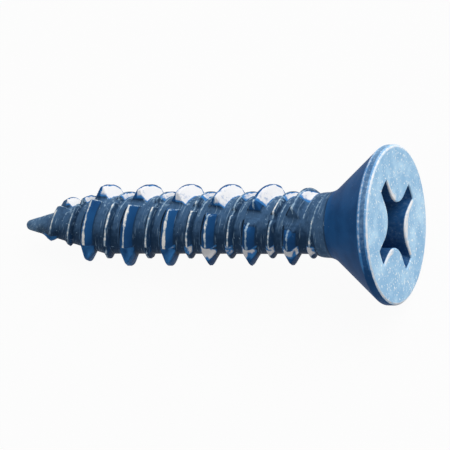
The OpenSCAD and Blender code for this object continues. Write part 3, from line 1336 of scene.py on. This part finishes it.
@dataclass(frozen=True)
class BakedBlueCoat:
    """Baked blue coating on rolled steel.

    It is nearly matt, so its colour hardly changes with the light's angle. It is greyer and finely
    scratched in the roots, where the grey is partly painted sheen, pale with specks on the face, partly
    as painted sheen, and thin or gone on edges that were rubbed. Painted shade darkens the roots below
    and at the feet of the flanks, and painted highlights and painted light pale the upper flanks, the
    notch walls and the head's edges and brighten the underside near the point.
    The grain, the specks and the scratches are drawn coarser than real ones, so that they show.
    """

    # Colours
    deep_blue: str = "1b4676"
    blue: str = "215286"
    # Grey of the roots, partly painted sheen; the darker grey shows below as painted shade
    root_deep: str = "213a56"
    root: str = "416082"
    # Painted shade at the feet of the flanks
    crease_shade: str = "122134"
    # Painted light: brighter blue on the underside near the point and round the painted highlights
    lit_blue: str = "3c7cba"
    # Pale face and head edges, partly painted sheen
    frost_and_sheen: str = "96c1e3"
    frost_light: str = "c2e4fa"
    frost_speck: str = "f0f7fb"
    thin: str = "86a2ba"
    bare: str = "efece7"
    # White of the painted highlights
    white: str = "e6e6e8"
    # Gloss
    roughness: float = 0.5
    specular: float = 0.03
    # Patterns
    mottle: Pattern = Pattern(2.2, 3)
    smear: Pattern = Pattern(0.4, 4)
    chip: Pattern = Pattern(0.28, 4)
    haze: Pattern = Pattern(1.5, 6)
    speck: Pattern = Pattern(0.2, 2)
    scratch: Pattern = Pattern(0.1, 3, "lay")
    grain: Pattern = Pattern(0.12, 3)
    grain_depth_mm: float = 0.02
    grain_strength: float = 0.5

    def layers(self) -> dict[str, Layer]:
        """Layers over the deep blue, from the lowest to the topmost."""
        return {
            "blue": Layer(self.blue, self.mottle, -0.15, 0.15),
            # Grey roots, partly painted sheen; painted shade leaves the darker grey below
            "root": Layer(self.root_deep, self.smear, 0.0, 0.5, Zone.ROOT, 0.0),
            "root_light": Layer(self.root, self.smear, 0.45, 1.15, Zone.ROOT, 0.9, within="root"),
            "root_speck": Layer(self.thin, self.speck, 0.19, 0.26, within="root"),
            # Painted shade at the feet of the flanks, where the root value passes 1
            "crease_shade": Layer(self.crease_shade, self.smear, 1.05, 1.5, Zone.ROOT, 0.2),
            "scratch": Layer(self.thin, self.scratch, 0.08, 0.3, within="root"),
            # Painted light: brighter blue where the painted highlights are faint
            "lit_blue": Layer(self.lit_blue, self.chip, 0.03, 0.2, Zone.HIGHLIGHT, 0.1),
            # Frosting, partly painted sheen on the face and painted light on the rim and in the recess
            "frost_and_sheen": Layer(self.frost_and_sheen, self.chip, 0.1, 0.9, Zone.FROST_AND_SHEEN, 0.3),
            "frost_light": Layer(self.frost_light, self.haze, -0.15, 0.28, within="frost_and_sheen"),
            "frost_speck": Layer(self.frost_speck, self.speck, 0.09, 0.19, within="frost_and_sheen"),
            # Worn coating, also showing the painted light on the roots and the painted highlight lines
            "thin": Layer(self.thin, self.chip, 0.25, 0.55, Zone.WEAR_AND_LIGHT, 1.3),
            "bare": Layer(self.bare, self.chip, 0.6, 0.9, Zone.WEAR_AND_LIGHT, 1.3),
            # Painted highlights on the upper flanks, notch walls, head edges and lip
            "white": Layer(self.white, self.chip, 0.3, 0.65, Zone.HIGHLIGHT, 0.7),
        }

    def noises(self, tree: bpy.types.NodeTree) -> dict[Pattern, Any]:
        """Lays each pattern that the coating uses once.

        Args:
            tree: The material's node tree.

        Returns:
            Each pattern, and the output that gives it.
        """
        place = node(tree, "ShaderNodeTexCoord", {}).outputs["Object"]
        made = {}
        for pattern in dict.fromkeys([layer.pattern for layer in self.layers().values()] + [self.grain]):
            on = place
            if pattern.attribute:
                attribute = node(tree, "ShaderNodeAttribute", {"attribute_name": pattern.attribute})
                on = attribute.outputs["Vector"]
            settings = {"Scale": 1 / (pattern.size_mm * MM), "Detail": pattern.detail}
            made[pattern] = node(tree, "ShaderNodeTexNoise", settings, {"Vector": on}).outputs["Fac"]
        return made

    def material(self) -> bpy.types.Material:
        """Builds the coating: each layer's share mixes its colour over the layers below.

        Returns:
            The finished material.
        """
        material = bpy.data.materials.new("baked_blue_coating")
        material.use_nodes = True
        tree = material.node_tree
        tree.nodes.clear()
        zones = node(tree, "ShaderNodeAttribute", {"attribute_name": "zones"})
        parts = node(tree, "ShaderNodeSeparateColor", {}, {"Color": zones.outputs["Color"]})
        noises = self.noises(tree)
        below: dict[Any, Any] = {}
        shares: dict[str, Any] = {}
        for name, layer in self.layers().items():
            links = {0: noises[layer.pattern]}
            if layer.zone:
                links[2] = (zones if layer.zone is Zone.ROOT else parts).outputs[layer.zone.value]
            settings = {"operation": "MULTIPLY_ADD", 1: layer.reach, 2: 0.0}
            value = node(tree, "ShaderNodeMath", settings, links)
            middle = layer.reach / 2
            share = node(tree, "ShaderNodeMapRange",
                         {"interpolation_type": "SMOOTHSTEP", "From Min": layer.low + middle,
                          "From Max": layer.high + middle}, {"Value": value.outputs[0]})
            if layer.within:
                share = node(tree, "ShaderNodeMath", {"operation": "MULTIPLY"},
                             {0: share.outputs[0], 1: shares[layer.within]})
            shares[name] = share.outputs[0]
            colours = {MIX_BELOW: hex_to_linear(self.deep_blue), MIX_ABOVE: hex_to_linear(layer.colour)}
            mixed = node(tree, "ShaderNodeMix", {"data_type": "RGBA"} | colours, {0: shares[name]} | below)
            below = {MIX_BELOW: mixed.outputs[MIX_RESULT]}

        bump = node(tree, "ShaderNodeBump",
                    {"Strength": self.grain_strength, "Distance": self.grain_depth_mm * MM},
                    {"Height": noises[self.grain]})
        shader = node(tree, "ShaderNodeBsdfPrincipled",
                      {"Roughness": self.roughness, "Specular IOR Level": self.specular},
                      {"Base Color": below[MIX_BELOW], "Normal": bump.outputs["Normal"]})
        node(tree, "ShaderNodeOutputMaterial", {}, {"Surface": shader.outputs["BSDF"]})
        return material


def node(tree: bpy.types.NodeTree, kind: str, settings: dict[Any, Any],
         links: dict[Any, Any] | None = None) -> bpy.types.Node:
    """Adds a node, sets its properties or sockets, and links its inputs.

    Args:
        tree: The node tree.
        kind: Blender's name of the node type.
        settings: Property or input socket, and its value.
        links: Input socket, and the output that feeds it.

    Returns:
        The new node.
    """
    made = tree.nodes.new(kind)
    for name, value in settings.items():
        if isinstance(name, str) and hasattr(made, name):
            setattr(made, name, value)
        else:
            made.inputs[name].default_value = value
    for name, source in (links or {}).items():
        tree.links.new(source, made.inputs[name])
    return made


@dataclass
class ConcreteScrew:
    """The whole screw: shank and head as one closed surface, laid in the frame and dressed."""

    lie: Lie
    head: Head
    shank: Shank
    coat: BakedBlueCoat = field(default_factory=BakedBlueCoat)
    name: str = "concrete_screw_surface"
    lay_rate: float = 0.4

    def surface(self) -> tuple[Array, Array, Array]:
        """Joins the head's rings to the last ring of the shank and closes the recess floor.

        Returns:
            Points in millimetres, zone values and triangles.
        """
        points, zones, triangles, end_ring = self.shank.surface()
        columns = self.shank.columns()
        recess = self.head.recess
        patch = self.head.surface(columns[:, 0] + columns[:, 1] * self.shank.thread_end)
        patch = self.shank.run_out(patch, self.head.cone_s)
        rings, ncol = patch.points.shape[:2]
        index = len(points) + np.arange(rings * ncol).reshape(rings, ncol)
        centre = np.full(ncol, len(points) + index.size)
        added = split(ring_quads(np.concatenate([[end_ring], index, [centre]])))
        floor = self.head.length - recess.depth(np.array(0.0))
        points = np.concatenate([points, patch.points.reshape(-1, 3), [[0, 0, floor]]])
        zones = np.concatenate([zones, patch.zones.reshape(-1, 4), [[0, recess.dust, 0, 0]]])
        return points, zones, np.concatenate([triangles, added])

    def lay(self, points: Array) -> Array:
        """Coordinates that run slowly along the helix and at full rate across it, without a seam.

        The place in the profile is wound on a circle one lead round, and the third value is a part of
        the station.

        Args:
            points: Rows of points in millimetres.

        Returns:
            Rows of three values in millimetres.
        """
        turn = 2 * np.pi * self.shank.helix(points) / self.shank.lead
        radius = self.shank.lead / (2 * np.pi)
        return polar(radius, turn, self.lay_rate * points[:, 2])

    def build(self) -> bpy.types.Object:
        """Makes the mesh without unused points, with its zones and lay as attributes, and dresses it.

        Returns:
            The finished piece.
        """
        points, zones, triangles = self.surface()
        used, order = np.unique(triangles, return_inverse=True)
        triangles = order.reshape(-1, 3)
        world = self.lie.to_world(points[used])
        mesh = bpy.data.meshes.new(self.name)
        mesh.vertices.add(len(world))
        mesh.vertices.foreach_set("co", world.astype(np.float32).ravel())
        mesh.loops.add(triangles.size)
        mesh.loops.foreach_set("vertex_index", triangles.astype(np.int32).ravel())
        mesh.polygons.add(len(triangles))
        mesh.polygons.foreach_set("loop_start", np.arange(0, triangles.size, 3, dtype=np.int32))
        mesh.update(calc_edges=True)
        mesh.validate()
        mesh.polygons.foreach_set("use_smooth", np.ones(len(mesh.polygons), dtype=bool))
        layer = mesh.attributes.new("zones", "FLOAT_COLOR", "POINT")
        layer.data.foreach_set("color", zones[used].astype(np.float32).ravel())
        layer = mesh.attributes.new("lay", "FLOAT_VECTOR", "POINT")
        layer.data.foreach_set("vector", (self.lay(points[used]) * MM).astype(np.float32).ravel())
        piece = bpy.data.objects.new(self.name, mesh)
        bpy.context.scene.collection.objects.link(piece)
        mesh.materials.append(self.coat.material())
        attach(piece, "root")
        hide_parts("concrete_screw")
        log.info("%s: %d points, %d triangles", self.name, len(mesh.vertices), len(mesh.polygons))
        return piece


def seen(tree: bpy.types.NodeTree) -> Any:
    """Tells the rays that show the background from those that light the screw.

    Args:
        tree: The node tree of the floor or the world.

    Returns:
        An output that is 1 for rays from the camera, from gloss or through glass, and 0 for the rest.
    """
    path = node(tree, "ShaderNodeLightPath", {})
    most = path.outputs["Is Camera Ray"]
    for name in ("Is Glossy Ray", "Is Transmission Ray"):
        links = {0: most, 1: path.outputs[name]}
        most = node(tree, "ShaderNodeMath", {"operation": "MAXIMUM"}, links).outputs[0]
    return most


@dataclass(frozen=True)
class WhitePaper:
    """White paper sweep, matt and even.

    It looks white to the eye and in reflections, with part of the screw's shadow kept, and throws
    only the light of a light grey paper back on the screw.
    """

    paper: str = "b0b0b0"
    whiteness: float = 0.95

    def material(self) -> bpy.types.Material:
        """Mixes matt paper and plain white by the rays that see it.

        Returns:
            The finished material.
        """
        material = bpy.data.materials.new("white_paper_sweep")
        material.use_nodes = True
        tree = material.node_tree
        tree.nodes.clear()
        share = node(tree, "ShaderNodeMath", {"operation": "MULTIPLY", 1: self.whiteness}, {0: seen(tree)})
        paper = node(tree, "ShaderNodeBsdfDiffuse", {"Color": hex_to_linear(self.paper)})
        white = node(tree, "ShaderNodeEmission", {"Color": hex_to_linear(WHITE)})
        both = node(tree, "ShaderNodeMixShader", {},
                    {0: share.outputs[0], 1: paper.outputs[0], 2: white.outputs[0]})
        node(tree, "ShaderNodeOutputMaterial", {}, {"Surface": both.outputs[0]})
        return material


@dataclass(frozen=True)
class Softbox:
    """Square softbox that faces the screw.

    Args:
        name: Name of the light.
        toward: Direction from the screw to the light.
        away_mm: Distance of the light.
        width_mm: Edge of the square.
        radiance: Brightness of its face, where 1 is white.
    """

    name: str
    toward: tuple[float, float, float]
    away_mm: float
    width_mm: float
    radiance: float

    def hang(self) -> None:
        """Adds the light to the scene, where the camera doesn't see it."""
        toward = Vector(self.toward).normalized()
        data = bpy.data.lights.new(self.name, "AREA")
        data.shape = "SQUARE"
        data.size = self.width_mm * MM
        data.energy = self.radiance * np.pi * data.size ** 2
        light = bpy.data.objects.new(self.name, data)
        light.visible_camera = False
        light.location = toward * self.away_mm * MM
        light.rotation_mode = "QUATERNION"
        light.rotation_quaternion = toward.to_track_quat("Z", "Y")
        bpy.context.scene.collection.objects.link(light)
        log.info("%s: %.0f mm wide, %.0f mm away", self.name, self.width_mm, self.away_mm)


@dataclass
class Studio:
    """White floor, soft light from above and a far camera that looks along the photograph's line.

    The camera faces the side of the screw at view_angle, turned by head_on towards the head, both in
    degrees. The picture is frame_mm wide at the screw, and its middle lies at station centre_s.
    """

    lie: Lie
    paper: WhitePaper = WhitePaper()
    overhead: Softbox = Softbox(
        "overhead_softbox", toward=(0.42, 0.34, 0.84), away_mm=450, width_mm=620, radiance=2.7)
    fill: Softbox = Softbox(
        "front_fill", toward=(-0.6, -0.6, 0.5), away_mm=600, width_mm=420, radiance=1.1)
    view_angle: float = 90.0
    head_on: float = 22.6
    frame_mm: float = 35.64
    centre_s: float = 17.08
    distance_mm: float = 1200.0
    sensor_mm: float = 36.0
    clip_start_mm: float = 10.0
    floor_mm: float = 6000.0
    world_strength: float = 0.26

    def camera(self) -> None:
        """Places the camera, which looks across the axis and is turned towards the head."""
        lie = self.lie
        turn = np.radians(self.head_on)
        across = lie.direction(self.view_angle)
        up = lie.direction(self.view_angle - 90)
        back = np.sin(turn) * lie.axis + np.cos(turn) * across
        right = np.cross(up, back)
        target = lie.face_centre + lie.axis * (self.centre_s - lie.length) * MM
        data = bpy.data.cameras.new("camera")
        data.sensor_width = self.sensor_mm
        data.lens = self.sensor_mm * self.distance_mm / self.frame_mm
        data.clip_start = self.clip_start_mm * MM
        camera = bpy.data.objects.new("camera", data)
        basis = Matrix((right, up, back)).transposed().to_4x4()
        camera.matrix_world = Matrix.Translation(Vector(target + back * self.distance_mm * MM)) @ basis
        bpy.context.scene.collection.objects.link(camera)
        bpy.context.scene.camera = camera
        log.info("camera: %.0f mm away", self.distance_mm)

    def floor(self) -> None:
        """Lays the floor, a square sheet of white paper."""
        half = self.floor_mm * MM / 2
        corners = np.array([[-1, -1, 0], [1, -1, 0], [1, 1, 0], [-1, 1, 0]]) * half
        mesh = bpy.data.meshes.new("floor")
        mesh.from_pydata(corners.tolist(), [], [(0, 1, 2, 3)])
        floor = bpy.data.objects.new("floor", mesh)
        bpy.context.scene.collection.objects.link(floor)
        mesh.materials.append(self.paper.material())
        log.info("floor: %.0f mm wide", self.floor_mm)

    def world(self) -> None:
        """Sets the surroundings: white where they are seen, and a low even light on everything."""
        world = bpy.data.worlds.new("studio")
        bpy.context.scene.world = world
        world.use_nodes = True
        tree = world.node_tree
        tree.nodes.clear()
        settings = {"operation": "MULTIPLY_ADD", 1: 1 - self.world_strength, 2: self.world_strength}
        lift = node(tree, "ShaderNodeMath", settings, {0: seen(tree)}).outputs[0]
        sky = node(tree, "ShaderNodeBackground", {"Color": hex_to_linear(WHITE)}, {"Strength": lift})
        node(tree, "ShaderNodeOutputWorld", {}, {"Surface": sky.outputs[0]})
        log.info("world: strength %.2f", self.world_strength)

    def build(self) -> None:
        """Sets up world, floor, lights, camera and the plain view."""
        bpy.context.scene.view_settings.view_transform = "Standard"
        self.world()
        self.floor()
        self.overhead.hang()
        self.fill.hang()
        self.camera()


def main() -> None:
    """Builds the screw and the studio."""
    logging.basicConfig(level=logging.INFO, format="%(name)s %(message)s")
    mounts = {mount["name"]: mount for mount in frame["record"]["mounts"]}
    face = mounts["driver_recess"]
    low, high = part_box("concrete_screw")
    head = Head(head_r=(high.y - low.y) / 2 / MM)
    lie = Lie(axis=np.array(face["axis"]), face_centre=np.array(face["pos_m"]), length=head.length)
    shank = Shank(thread_end=head.thread_end, top_r=head.neck_r - head.neck_step)
    ConcreteScrew(lie, head, shank).build()
    Studio(lie).build()


if __name__ == "__main__":
    main()
